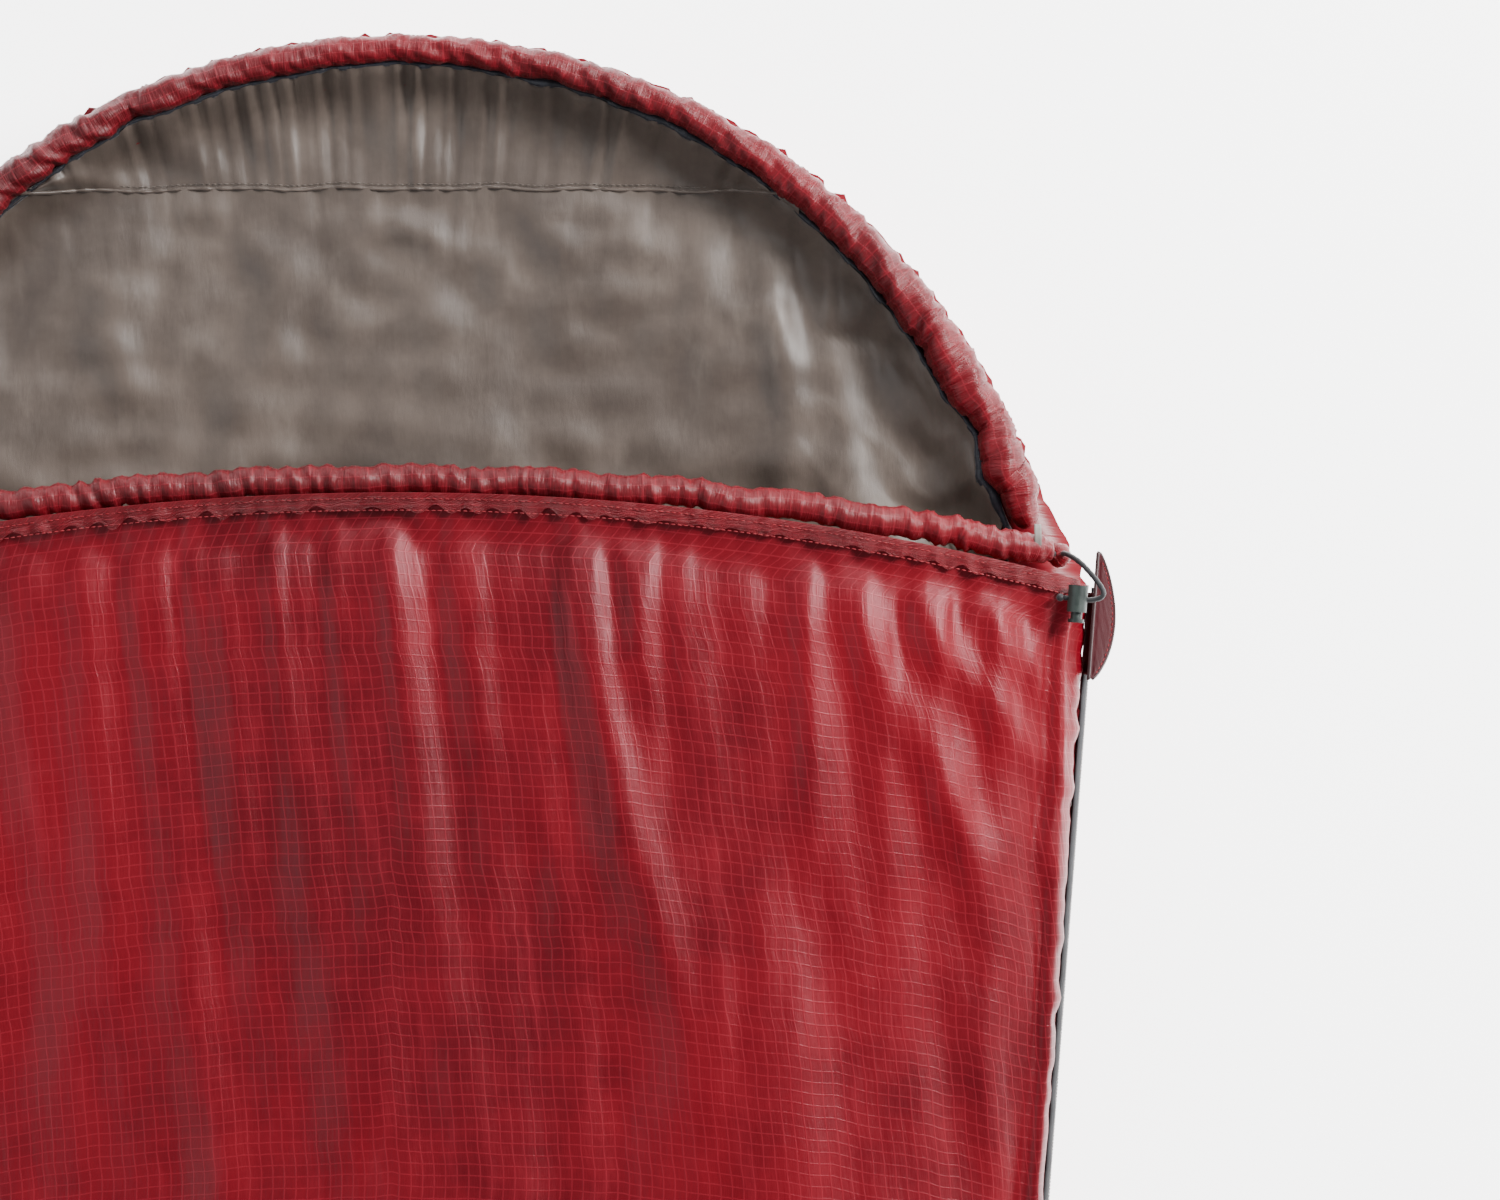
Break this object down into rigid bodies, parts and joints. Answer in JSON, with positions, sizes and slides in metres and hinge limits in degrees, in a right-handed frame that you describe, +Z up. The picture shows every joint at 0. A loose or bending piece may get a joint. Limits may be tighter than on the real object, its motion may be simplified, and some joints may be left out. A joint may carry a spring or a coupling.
{
  "type": "mummy sleeping bag",
  "caption": "Padded mummy sleeping bag lying flat, with a gathered hood, a fold-open chest flap on a side zip, a closure tab and a cord lock.",
  "frame": {"origin": "on the centreline of the flat underside, halfway between the foot and the top of the hood", "axes": "+Y along the bag towards the hood, +Z up from the surface it lies on, +X towards the zip"},
  "size_m": [0.7876, 2.1218, 0.1398],
  "materials": {
    "shell_fabric": "glossy woven ripstop",
    "lining_fabric": "satin woven lining",
    "filling": "soft wadding",
    "underside_fabric": "coated woven fabric",
    "edge_trim": "satin binding",
    "webbing": "woven webbing",
    "cord": "braided cord",
    "strip_webbing": "flat woven strip",
    "tab_fabric": "doubled woven fabric",
    "hook_patch": "hook tape",
    "zip_tape": "woven tape",
    "zip_coil": "moulded coil",
    "zip_metal": "dark enamel",
    "lock_plastic": "moulded",
    "spring_steel": "bright wire"
  },
  "bodies": {
    "bag": {"underside_panel": "underside_fabric", "back_shell": "shell_fabric", "back_fill": "filling", "back_lining": "lining_fabric", "foot_shell": "shell_fabric", "foot_fill": "filling", "foot_lining": "lining_fabric", "foot_loops": "webbing", "front_shell": "shell_fabric", "front_fill": "filling", "front_lining": "lining_fabric", "chest_hem": "shell_fabric", "hood_shell": "shell_fabric", "hood_fill": "filling", "hood_lining": "lining_fabric", "hood_crown_lining": "lining_fabric", "hood_rim_tunnel": "shell_fabric", "hood_drawcord": "cord", "hood_piping": "edge_trim", "draft_tube": "lining_fabric", "back_zip_tape": "zip_tape", "back_zip_coil": "zip_coil", "back_top_stop": "zip_metal", "zip_bottom_box": "zip_metal"},
    "flap": {"flap_shell": "shell_fabric", "flap_fill": "filling", "flap_lining": "lining_fabric", "chest_tunnel": "shell_fabric", "chest_drawcord": "cord", "tunnel_end": "shell_fabric", "neck_strip": "strip_webbing", "flap_zip_tape": "zip_tape", "flap_zip_coil": "zip_coil", "flap_top_stop": "zip_metal", "tab_anchor": "tab_fabric", "lock_barrel": "lock_plastic", "lock_spring": "spring_steel", "cord_knot": "cord"},
    "tab": {"closure_tab": "tab_fabric", "tab_hook_patch": "hook_patch"},
    "plunger": {"lock_plunger": "lock_plastic"},
    "slider": {"slider_body": "zip_metal", "slider_pin": "zip_metal"},
    "pull": {"zip_pull": "zip_metal"}
  },
  "joints": [
    {"name": "flap_fold", "type": "hinge", "parent": "bag", "child": "flap", "pos_m": [-0.22638, 0.77204, 0.1405], "axis": [0.4439, -0.8961, 0], "range_deg": [0, 150]},
    {"name": "zip_slide", "type": "slide", "parent": "bag", "child": "slider", "axis": [-0.075, -0.9972, 0], "range_m": [0, 1]},
    {"name": "pull_swing", "type": "hinge", "parent": "slider", "child": "pull", "pos_m": [0.39294, 0.72645, 0.056], "axis": [0, 0, 1], "range_deg": [0, 165]},
    {"name": "tab_fold", "type": "hinge", "parent": "flap", "child": "tab", "pos_m": [0.38528, 0.68591, 0.08], "axis": [0.075, 0.9972, 0], "range_deg": [-130, 15]},
    {"name": "lock_press", "type": "slide", "parent": "flap", "child": "plunger", "axis": [0.075, 0.9972, 0], "range_m": [0, 0.0035], "stiffness_N_per_m": 300, "springref_m": -0.002, "deforming": ["lock_spring"]}
  ],
  "couplings": [
    {"joint": "zip_slide", "follows": "flap_fold", "m_per_rad": 0.38}
  ]
}
